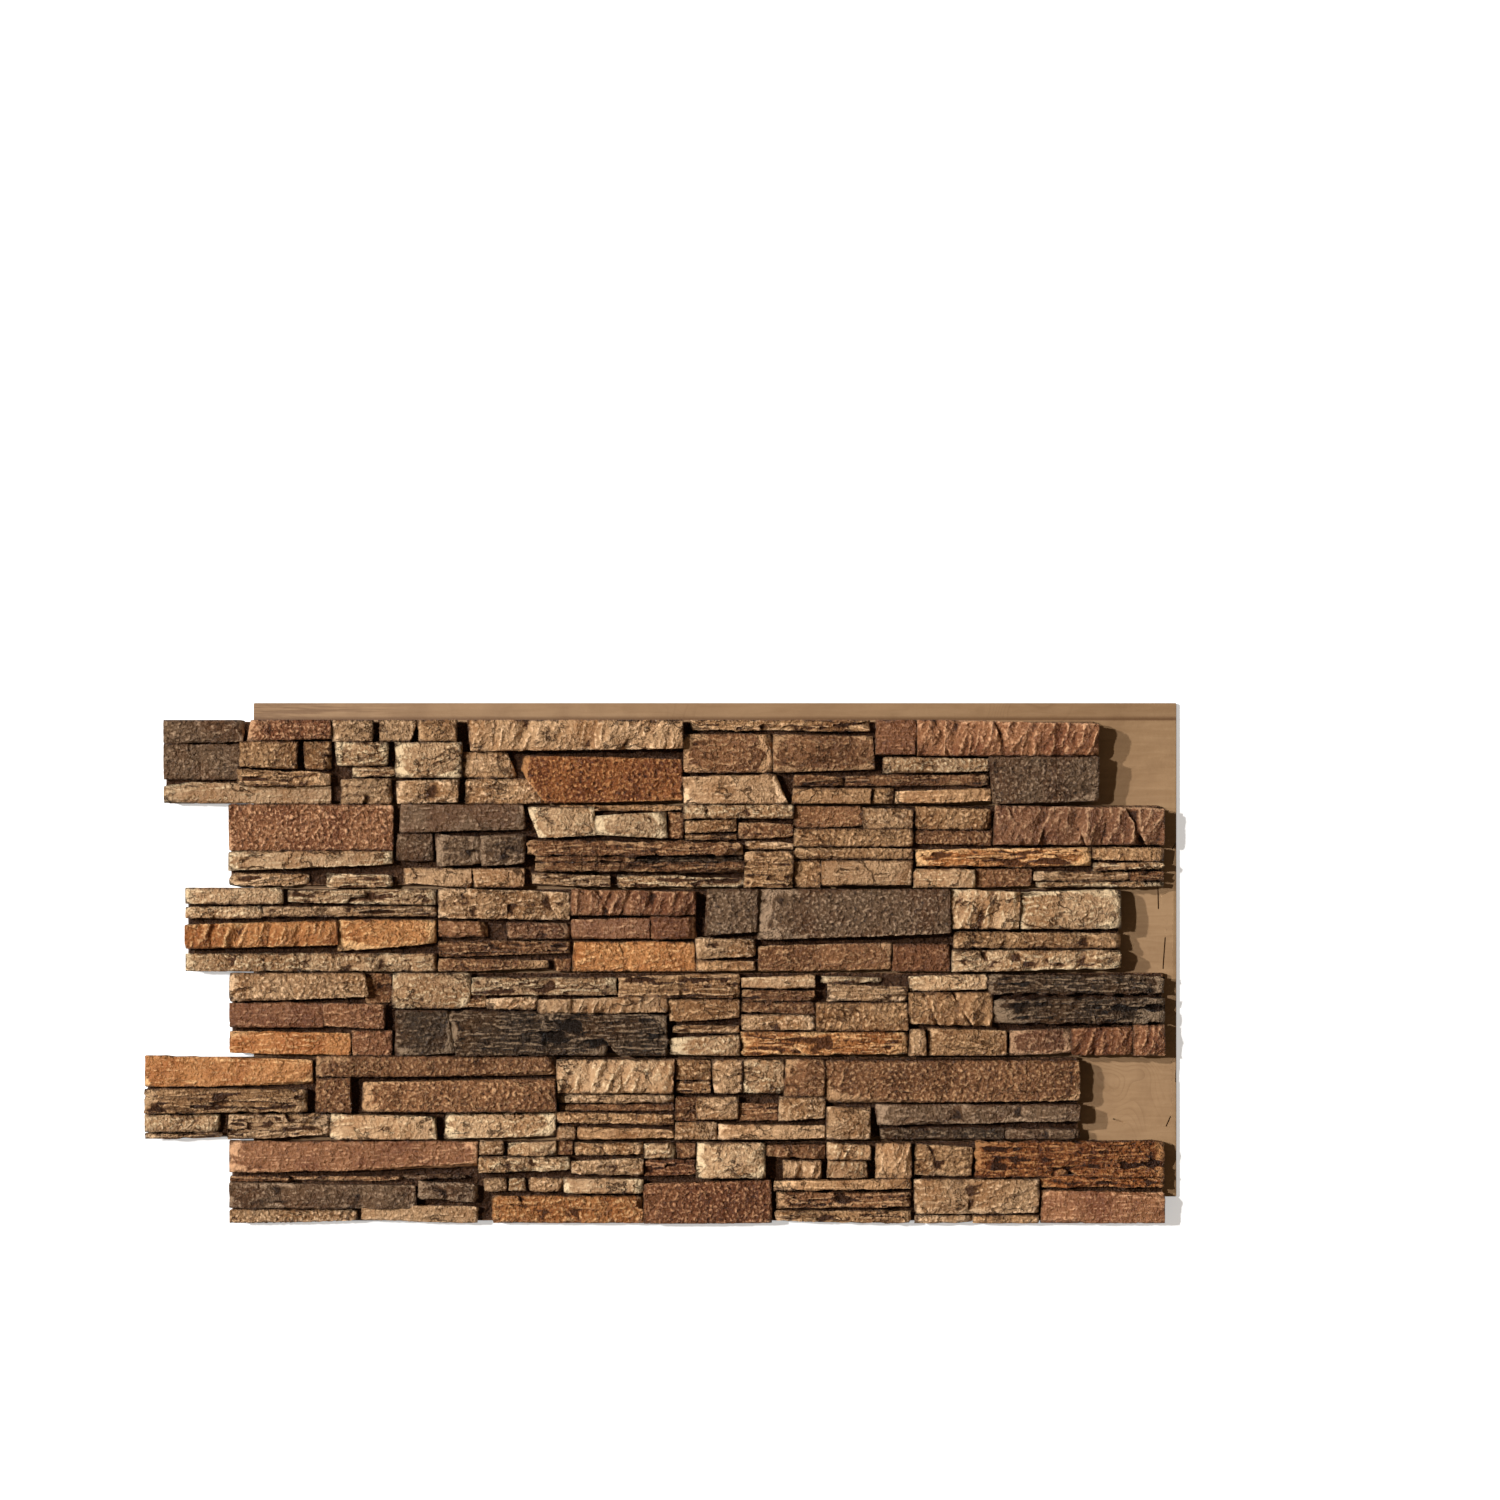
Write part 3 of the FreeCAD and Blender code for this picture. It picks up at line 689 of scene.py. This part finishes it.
def build_bed(name, course_left, course_low):
    """The joint floor between a course's stones, rough and darkly washed."""
    middle = (course_left + COURSE_LENGTH / 2, course_low + COURSE_HEIGHT / 2)
    bpy.ops.object.select_all(action="DESELECT")
    bpy.ops.mesh.primitive_cube_add(
        size=1,
        location=(*middle, (SHEET_THICKNESS + JOINT_FLOOR) / 2),
        scale=(
            COURSE_LENGTH - 2 * BED_SETBACK,
            COURSE_HEIGHT - 2 * BED_SETBACK,
            JOINT_FLOOR - SHEET_THICKNESS,
        ),
    )
    bed = bpy.context.object
    bed.name = name
    bpy.ops.object.transform_apply(location=True, rotation=True, scale=True)
    apply_modifier(bed, "REMESH", mode="VOXEL", voxel_size=BED_VOXEL)
    apply_modifier(
        bed, "DISPLACE", texture=CHUNKS, texture_coords="OBJECT",
        texture_coords_object=ROUND_GUIDE, direction="Z",
        strength=BED_RELIEF, mid_level=0.7,
    )
    places = vertex_array(bed)
    places[:, 2] = np.maximum(places[:, 2], SHEET_THICKNESS)
    bed.data.vertices.foreach_set("co", places.ravel())

    reach = np.abs(places[:, :2] - np.array(middle))
    inside = np.array((COURSE_LENGTH / 2, COURSE_HEIGHT / 2)) - reach
    outer_side = inside.min(axis=1) < BED_SETBACK + 1 * MM
    store(bed, "inside", np.full(len(places), 9))
    store(bed, "proud", np.where(outer_side, 1.0, 0.0))
    store(bed, "sunk", np.zeros(len(places)))
    store(bed, "tone", np.full(len(places), 0.5))
    store(bed, "coarse", np.full(len(places), 0.7))
    bed.data.materials.append(FINISHES["joint"])
    return bed


def build_course(number, stones):
    """One course: its joint floor and its stones, joined and trimmed to its box."""
    course_left = SHEET_LEFT - OVERHANGS[number - 1]
    course_low = low_corner.y + (COURSES - number) * COURSE_HEIGHT
    chance = random.Random(SEED + number)
    bed = build_bed(f"course_{number}", course_left, course_low)
    built = [
        build_stone(f"stone_{number}_{count:02d}", course_left, course_low, stone, chance)
        for count, stone in enumerate(stones, start=1)
    ]
    bpy.ops.object.select_all(action="DESELECT")
    for stone in built:
        stone.select_set(True)
    bed.select_set(True)
    bpy.context.view_layer.objects.active = bed
    bpy.ops.object.join()
    trimmed = vertex_array(bed)
    trimmed[:, 0] = trimmed[:, 0].clip(course_left, course_left + COURSE_LENGTH)
    trimmed[:, 1] = trimmed[:, 1].clip(course_low, course_low + COURSE_HEIGHT)
    trimmed[:, 2] = trimmed[:, 2].clip(SHEET_THICKNESS, high_corner.z)
    bed.data.vertices.foreach_set("co", trimmed.ravel())
    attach(bed, "root")
    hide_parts("panel")


# Each stone gives, in millimetres, its place from the course's lower left
# corner, its length, its height and its relief above the sheet, then how far
# its face looks down and to the right in degrees, its finish and its shape.
# Some add how far the left and right ends slant, and how far the joints below
# and above gape at the right end, or at the left if below zero.
build_course(1, [
    (0, 71, 97, 28, 28, 1, -2, "slate", "cleft", 0, 5),
    (99, 74, 99, 25, 33, 0, -1, "russet", "split", 6, 0),
    (0, 29, 44, 41, 25, 1, -4, "slate", "cleft"),
    (44, 29, 47, 41, 26, 1, 5, "slate", "cleft"),
    (91, 41, 67, 32, 34, 0, -2, "tan", "pitted"),
    (167, 41, 31, 32, 30, 0, -1, "tan", "split"),
    (88, 21, 110, 20, 36, -1, 0, "tan", "ledge"),
    (0, 0, 198, 26, 21, 2, 0, "cream", "smooth"),
    (200, 74, 47, 25, 33, 0, -2, "sand", "split"),
    (256, 74, 45, 25, 30, 0, 2, "sand", "pitted", 0, 10),
    (302, 74, 44, 25, 38, 0, 4, "tan", "cleft"),
    (204, 45, 61, 27, 34, 0, -1, "cream", "split"),
    (275, 31, 77, 41, 39, 0, -2, "cream", "cleft"),
    (223, 31, 51, 12, 27, 0, 0, "cream", "ledge"),
    (210, 0, 59, 29, 26, 0, 2, "sand", "split"),
    (276, 0, 72, 29, 32, 0, -1, "sand", "split"),
    (357, 0, 93, 29, 24, 1, 0, "sand", "split", 0, -18),
    (354, 31, 63, 30, 26, 1, -1, "sand", "cleft", 0, -12),
    (362, 62, 251, 37, 39.5, 0, 0, "sand", "scarred", 0, 0, 4),
    (411, 0, 201, 57, 30, 1, 0, "rust", "pitted", -39, 0),
    (622, 85, 212, 14, 30, 0, 0, "tan", "ledge"),
    (614, 37, 105, 45, 33, 1, -1, "umber", "cleft"),
    (720, 37, 118, 45, 34, 1, 1, "umber", "cleft"),
    (614, 0, 123, 35, 36, 0, 0, "sand", "smooth", 0, -15),
    (744, 21, 59, 14, 27, 0, 0, "umber", "ledge"),
    (805, 21, 170, 14, 26, 0, 0, "umber", "ledge"),
    (743, 0, 92, 18, 33, 0, 0, "tan", "smooth"),
    (837, 0, 24, 18, 27, 0, 2, "tan", "split"),
    (864, 0, 112, 18, 34, 0, 0, "tan", "smooth"),
    (841, 58, 47, 41, 34, 0, -1, "mahogany", "smooth"),
    (890, 57, 214, 42, 36, 0, 0, "russet", "scarred"),
    (850, 36, 124, 19, 30, 0, 0, "cream", "pitted"),
    (977, 0, 127, 55, 39, 0, 0, "slate", "pitted"),
])


# Second course of stones, cast in one with the panel like the first. It starts
# 77 mm further right, so that the end of the next panel's finger fits beside
# it, and holds broad granular stones, dark strata and thin ledges.
build_course(2, [
    (0, 44, 194, 54, 28, 1, 0, "russet", "pitted"),
    (0, 20, 194, 23, 33, 0, 0, "cream", "smooth", 0, 0, 8),
    (0, 0, 95, 17, 22, 0, 1, "sand", "ledge"),
    (116, 0, 77, 17, 27, -2, 0, "cream", "ledge"),
    (203, 65, 146, 33, 30, 0, 0, "slate", "smooth"),
    (199, 32, 42, 31, 27, -3, 2, "slate", "cleft"),
    (246, 25, 51, 38, 39.5, 0, -3, "slate", "split"),
    (298, 25, 52, 38, 39.5, 0, 4, "slate", "split"),
    (207, 0, 80, 23, 24, 0, 0, "sand", "smooth"),
    (289, 0, 60, 23, 26, 0, 0, "sand", "smooth"),
    (352, 58, 80, 37, 33, 0, -1, "cream", "cleft", -16, 0),
    (433, 58, 84, 31, 39.5, 0, 5, "cream", "cleft"),
    (392, 90, 143, 8, 26, 0, 0, "tan", "ledge"),
    (519, 58, 17, 31, 27, 0, 0, "umber", "split"),
    (352, 38, 255, 18, 38, 1, 0, "umber", "grained"),
    (480, 29, 127, 9, 24, 0, 0, "charcoal", "grained"),
    (361, 18, 246, 12, 37, 0, 0, "umber", "grained"),
    (361, 30, 120, 8, 33, 0, 0, "umber", "grained"),
    (358, 0, 92, 17, 26, 0, 0, "sand", "ledge"),
    (459, 0, 148, 15, 27, 0, 0, "cream", "ledge"),
    (538, 82, 128, 16, 34, 0, 0, "cream", "split"),
    (539, 64, 60, 17, 28, 1, 0, "tan", "split"),
    (602, 57, 64, 20, 28, 2, 0, "umber", "split"),
    (539, 56, 61, 7, 24, 0, 0, "tan", "ledge"),
    (609, 45, 57, 10, 28, 0, 0, "sand", "ledge"),
    (609, 0, 57, 43, 34, 0, -1, "tan", "ledge"),
    (668, 71, 79, 25, 24, 0, -1, "umber", "cleft"),
    (749, 70, 58, 24, 28, 0, 0, "sand", "pitted"),
    (668, 49, 139, 20, 32, 0, 0, "tan", "pitted"),
    (668, 34, 139, 14, 28, 0, 0, "tan", "pitted"),
    (668, 0, 31, 32, 24, 0, 0, "tan", "split"),
    (700, 3, 106, 29, 38, 0, 0, "sand", "smooth"),
    (811, 69, 88, 27, 26, 0, 0, "tan", "pitted"),
    (810, 50, 90, 17, 24, 0, 0, "umber", "pitted"),
    (904, 51, 200, 46, 36, 1, 0, "plum", "scarred"),
    (811, 25, 207, 23, 33, 0, 0, "ochre", "ledge"),
    (1020, 31, 84, 17, 30, 0, 0, "tan", "pitted"),
    (1020, 20, 84, 10, 33, 0, 0, "cream", "ledge"),
    (808, 0, 73, 22, 34, 0, -1, "cream", "smooth"),
    (883, 0, 64, 22, 24, 0, 1, "umber", "cleft"),
    (950, 8, 112, 11, 26, 0, 0, "sand", "ledge"),
    (1064, 8, 40, 11, 26, 0, 0, "umber", "ledge"),
    (953, 0, 151, 7, 30, 0, 0, "cream", "ledge"),
])


# Third course of stones, of the same moulded and painted foam. It reaches
# 51 mm further left than the second, with a ridged ochre stone at that end and
# the broad grey one in the middle.
build_course(3, [
    (0, 80, 115, 19, 32, 0, 1, "cream", "cleft"),
    (122, 78, 174, 20, 33, 0, 0, "cream", "ledge"),
    (0, 63, 90, 14, 28, 0, 0, "cream", "split"),
    (91, 65, 205, 12, 32, 0, 0, "sand", "ledge"),
    (0, 27, 180, 33, 34, 0, 0, "ochre", "scarred", 0, 0, 5),
    (181, 24, 115, 37, 34, 0, 0, "ochre", "cleft", 0, 0, 10),
    (0, 0, 296, 21, 28, 1, 0, "cream", "split"),
    (299, 61, 155, 37, 33, 0, 0, "sand", "split"),
    (299, 41, 58, 19, 24, 0, 0, "umber", "smooth"),
    (380, 39, 74, 19, 30, 0, 0, "plum", "split"),
    (299, 17, 155, 19, 27, 0, 0, "umber", "ledge"),
    (299, 0, 129, 15, 32, 0, 0, "umber", "split"),
    (436, 0, 18, 15, 20, 0, 0, "umber", "split"),
    (456, 67, 146, 30, 38, 0, -1, "russet", "scarred"),
    (456, 39, 92, 25, 30, 0, 0, "plum", "smooth"),
    (550, 39, 52, 26, 33, 0, 0, "mahogany", "smooth"),
    (458, 0, 143, 35, 26, 0, 0, "ochre", "cleft"),
    (615, 43, 60, 54, 39.5, 0, -1, "slate", "pitted"),
    (676, 38, 226, 59, 42, 0, 0, "slate", "pitted", 0, 0, 8),
    (603, 15, 69, 25, 32, 0, 0, "sand", "split"),
    (604, 0, 68, 13, 30, 0, 0, "tan", "cleft"),
    (677, 0, 156, 34, 27, 0, 0, "umber", "cleft"),
    (835, 0, 67, 32, 24, 0, 1, "mahogany", "cleft"),
    (904, 51, 80, 46, 39.5, 0, -1, "cream", "scarred"),
    (985, 51, 119, 46, 39.5, 0, 0, "cream", "cleft"),
    (907, 28, 197, 19, 34, 0, 0, "tan", "split"),
    (905, 0, 199, 25, 39, 0, 0, "cream", "split"),
])


# Fourth course of stones, of the same moulded and painted foam, set back again
# at the left. The long dark block that looks like driftwood lies in it, and two
# dark bands of strata close its right end.
build_course(4, [
    (0, 64, 166, 33, 34, 0, 0, "sand", "pitted", 0, -8, 6),
    (160, 61, 31, 35, 21, 0, 2, "umber", "split"),
    (0, 33, 111, 29, 27, 0, 0, "russet", "smooth"),
    (112, 31, 71, 31, 30, 0, 0, "russet", "cleft"),
    (0, 0, 143, 29, 27, 0, 0, "ochre", "smooth"),
    (145, 0, 46, 29, 26, 0, 0, "russet", "cleft"),
    (193, 56, 91, 41, 32, 0, 0, "cream", "cleft"),
    (250, 56, 53, 20, 27, 0, 0, "tan", "ledge"),
    (286, 71, 171, 21, 34, 0, 0, "cream", "ledge"),
    (459, 68, 143, 29, 32, 0, 0, "tan", "ledge"),
    (304, 55, 59, 15, 30, 0, 0, "sand", "split"),
    (365, 49, 152, 21, 32, 0, 0, "sand", "scarred"),
    (519, 40, 83, 26, 30, 0, 1, "tan", "cleft"),
    (197, 0, 72, 53, 39.5, 0, -9, "charcoal", "cleft", 0, -14),
    (256, 0, 261, 53, 39.5, 0, 1, "charcoal", "grained", -14, 0),
    (523, 26, 79, 10, 30, 0, 0, "tan", "ledge"),
    (520, 0, 82, 24, 36, 0, -1, "cream", "cleft"),
    (605, 80, 86, 15, 34, 0, 0, "cream", "smooth"),
    (605, 64, 86, 14, 32, 0, 0, "umber", "ledge"),
    (605, 49, 86, 14, 32, 0, 0, "umber", "split"),
    (605, 30, 86, 18, 34, 0, 0, "sand", "split"),
    (697, 85, 73, 9, 27, 0, 0, "cream", "ledge"),
    (706, 64, 94, 20, 34, 0, 0, "sand", "ledge"),
    (693, 30, 107, 32, 36, 0, 0, "tan", "pitted"),
    (604, 0, 196, 28, 34, 0, 0, "ochre", "ledge"),
    (803, 76, 91, 20, 28, 0, 0, "cream", "cleft"),
    (802, 35, 98, 39, 33, 0, 0, "tan", "scarred"),
    (803, 0, 18, 31, 38, 0, -2, "sand", "cleft"),
    (825, 0, 92, 32, 32, 0, 0, "tan", "cleft"),
    (896, 73, 208, 23, 32, 0, 0, "charcoal", "grained"),
    (902, 38, 202, 31, 38, 0, 0, "charcoal", "grained"),
    (921, 0, 72, 32, 32, 0, -1, "plum", "cleft"),
    (994, 0, 71, 34, 28, 0, 0, "mahogany", "scarred"),
    (1067, 0, 37, 36, 33, 0, -1, "russet", "scarred"),
])


# Fifth course of stones, of the same moulded and painted foam, and the one that
# reaches furthest left: its smooth ochre stone laps over the flange of the
# panel beside it.
build_course(5, [
    (0, 62, 198, 37, 26, 5, 0, "ochre", "smooth"),
    (0, 31, 192, 29, 38, 0, 0, "tan", "ledge"),
    (0, 9, 88, 20, 30, 0, 0, "cream", "split"),
    (0, 0, 91, 7, 24, 0, 0, "sand", "ledge"),
    (99, 0, 120, 30, 30, 0, 0, "sand", "ledge"),
    (220, 0, 124, 30, 33, 0, 0, "cream", "smooth"),
    (203, 74, 282, 24, 34, 0, 0, "umber", "pitted"),
    (203, 32, 40, 40, 28, 0, 3, "umber", "pitted"),
    (258, 33, 227, 39, 38, 0, 0, "umber", "pitted", 0, 0, 0, -5),
    (355, 0, 130, 30, 30, 0, 0, "cream", "cleft"),
    (487, 55, 137, 39, 34, 0, 0, "cream", "scarred"),
    (487, 43, 137, 10, 30, 0, 0, "sand", "ledge"),
    (490, 33, 134, 8, 21, 0, 0, "umber", "split"),
    (487, 17, 137, 15, 28, 0, 0, "tan", "split"),
    (487, 0, 21, 15, 30, 0, 1, "sand", "cleft"),
    (511, 0, 113, 15, 33, 0, 0, "tan", "smooth"),
    (627, 70, 41, 24, 30, 0, 0, "tan", "split"),
    (627, 55, 41, 14, 30, 0, 0, "tan", "ledge"),
    (671, 55, 34, 39, 36, 0, -2, "sand", "cleft"),
    (706, 55, 48, 39, 34, 0, 0, "cream", "cleft"),
    (756, 51, 46, 43, 38, 0, 9, "umber", "cleft"),
    (627, 22, 24, 28, 26, 0, 0, "umber", "split"),
    (652, 24, 48, 26, 34, 0, 0, "sand", "cleft"),
    (701, 22, 46, 21, 26, 0, 0, "umber", "ledge"),
    (749, 22, 54, 28, 34, 0, 0, "sand", "split"),
    (627, 0, 48, 20, 32, 0, 0, "sand", "split"),
    (677, 0, 126, 18, 36, 0, 0, "sand", "smooth"),
    (805, 0, 51, 38, 36, 0, 0, "sand", "cleft"),
    (804, 43, 300, 50, 33, 0, 0, "umber", "pitted"),
    (864, 17, 240, 24, 36, 0, 0, "slate", "cleft", 0, 0, 6),
    (868, 0, 146, 13, 27, 0, 0, "charcoal", "split"),
    (1016, 0, 88, 13, 28, 0, 0, "slate", "split"),
])


# Sixth and lowest course of stones, of the same moulded and painted foam. It
# hangs 30 mm below the sheet and covers the top flange of the panel below.
build_course(6, [
    (0, 60, 293, 37, 32, 0, 0, "russet", "smooth", 0, 0, 6),
    (0, 49, 205, 7, 24, 0, 0, "umber", "ledge"),
    (206, 52, 73, 6, 28, 0, 0, "slate", "ledge"),
    (0, 18, 220, 30, 34, 0, 0, "slate", "cleft", 0, 0, 0, 4),
    (223, 25, 70, 25, 34, 0, 0, "slate", "split"),
    (0, 0, 150, 16, 26, 0, 0, "sand", "pitted"),
    (156, 0, 137, 23, 28, 0, 0, "sand", "smooth"),
    (295, 81, 29, 16, 30, 0, 0, "sand", "split"),
    (330, 80, 55, 17, 33, 0, 0, "cream", "cleft"),
    (387, 81, 18, 16, 26, 0, 1, "umber", "split"),
    (295, 60, 107, 18, 33, 0, 0, "cream", "split"),
    (408, 80, 80, 15, 30, 0, 0, "tan", "split"),
    (404, 57, 84, 20, 33, 0, 0, "sand", "split"),
    (301, 38, 26, 15, 27, 0, 0, "sand", "split"),
    (330, 38, 19, 15, 26, 0, 0, "cream", "split"),
    (354, 38, 39, 15, 27, 0, 0, "sand", "split"),
    (395, 36, 93, 18, 38, 0, 0, "cream", "smooth"),
    (311, 0, 177, 32, 26, 1, 0, "ochre", "split"),
    (490, 77, 37, 17, 30, 0, 0, "cream", "split"),
    (529, 77, 21, 17, 27, 0, 1, "umber", "split"),
    (490, 55, 60, 20, 26, 0, 0, "mahogany", "ledge"),
    (552, 54, 80, 41, 39.5, 0, -1, "cream", "cleft"),
    # This stone takes the dark umber finish as painted shade, for the curved shadows across its
    # sand face.
    (634, 76, 68, 17, 32, 0, -2, "umber", "scarred"),
    (654, 54, 44, 20, 30, 0, 0, "sand", "scarred"),
    (706, 76, 50, 19, 33, 0, -2, "cream", "scarred"),
    (706, 54, 46, 20, 32, 0, 0, "cream", "scarred"),
    (763, 54, 41, 41, 32, 0, 0, "sand", "scarred"),
    (490, 0, 149, 51, 32, 0, 0, "mahogany", "pitted"),
    (643, 39, 161, 14, 38, 0, 0, "tan", "smooth"),
    (645, 17, 159, 20, 28, 0, 0, "umber", "ledge"),
    (644, 0, 160, 15, 33, 0, 0, "tan", "ledge"),
    (809, 55, 67, 39, 30, 0, 0, "tan", "split"),
    (880, 54, 224, 43, 33, 0, 0, "rust", "grained"),
    (958, 42, 146, 16, 30, 0, 0, "rust", "ledge"),
    (809, 11, 146, 41, 34, 0, 0, "sand", "cleft"),
    (810, 0, 66, 9, 32, 0, 0, "sand", "split"),
    (878, 0, 77, 9, 28, 0, 0, "tan", "split"),
    (958, 0, 146, 39, 28, 0, 0, "russet", "smooth"),
])

for helper in (ROUND_GUIDE, BED_GUIDE, LAYER_GUIDE, SLANT_GUIDE):
    bpy.data.objects.remove(helper)


# Floor: the plain pale studio sheet that the panel lies on, wider than the
# view. It shows almost white to the camera and keeps the panel's shadow.
FLOOR_SIZE = 12
FLOOR_TINT = (0.45, 0.44, 0.43)
FLOOR_SEEN = (0.95, 0.95, 0.95)
FLOOR_GLOW = 0.45

bpy.ops.object.select_all(action="DESELECT")
bpy.ops.mesh.primitive_plane_add(size=FLOOR_SIZE, location=(0, 0, 0))
floor = bpy.context.object
floor.name = "floor"
floor_paint = Paint("pale_floor", roughness=0.9)
seen = floor_paint.nodes.new("ShaderNodeLightPath").outputs["Is Camera Ray"]
floor_paint.colour(floor_paint.mix(seen, FLOOR_TINT, FLOOR_SEEN))
floor_paint.shader.inputs["Emission Color"].default_value = (1, 1, 1, 1)
glow = floor_paint.sums("MULTIPLY", seen, FLOOR_GLOW)
floor_paint.feed(floor_paint.shader.inputs["Emission Strength"], glow)
floor.data.materials.append(floor_paint.material)


# Light: two lamps low on the left, as in the studio shot, and a faint warm
# fill from all round that leaves the background white.
KEY_LAMP = (2.12, 166, 56)
LOW_LAMP = (2.58, 161, 40)
LAMP_SPREAD = 1.5
FILL_STRENGTH = 0.15
FILL_TINT = (1.0, 0.78, 0.55, 1)


def lamp(name, strength, azimuth, elevation):
    data = bpy.data.lights.new(name, "SUN")
    data.energy = strength
    data.angle = math.radians(LAMP_SPREAD)
    sun = bpy.data.objects.new(name, data)
    turn, rise = math.radians(azimuth), math.radians(elevation)
    towards = Vector((
        math.cos(turn) * math.cos(rise),
        math.sin(turn) * math.cos(rise),
        math.sin(rise),
    ))
    sun.rotation_mode = "QUATERNION"
    sun.rotation_quaternion = towards.to_track_quat("Z", "Y")
    bpy.context.scene.collection.objects.link(sun)


lamp("key_lamp", *KEY_LAMP)
lamp("low_lamp", *LOW_LAMP)

world = bpy.data.worlds.new("studio")
bpy.context.scene.world = world
world.use_nodes = True
nodes, links = world.node_tree.nodes, world.node_tree.links
seen = nodes.new("ShaderNodeLightPath").outputs["Is Camera Ray"]
strength = nodes.new("ShaderNodeMapRange")
strength.inputs["To Min"].default_value = FILL_STRENGTH
strength.inputs["To Max"].default_value = 1.0
links.new(seen, strength.inputs["Value"])
links.new(strength.outputs["Result"], nodes["Background"].inputs["Strength"])
tint = nodes.new("ShaderNodeMix")
tint.data_type = "RGBA"
tint.inputs[6].default_value = FILL_TINT
tint.inputs[7].default_value = (1, 1, 1, 1)
links.new(seen, tint.inputs["Factor"])
links.new(tint.outputs[2], nodes["Background"].inputs["Color"])


# Camera: straight above the middle of the photograph's frame, which lies up
# and to the right of the panel. The frame's width holds at the stones' level.
VIEW_WIDTH = 1.7685
VIEW_MIDDLE = (0.1049, 0.2514)
LENS = 150
SENSOR = 36
FACE_LEVEL = 0.035
FAR_END = 30

camera_data = bpy.data.cameras.new("camera")
camera_data.lens = LENS
camera_data.sensor_width = SENSOR
camera_data.clip_end = FAR_END
camera = bpy.data.objects.new("camera", camera_data)
camera.location = (*VIEW_MIDDLE, FACE_LEVEL + VIEW_WIDTH * LENS / SENSOR)
bpy.context.scene.collection.objects.link(camera)
bpy.context.scene.camera = camera
bpy.context.scene.view_settings.view_transform = "Standard"
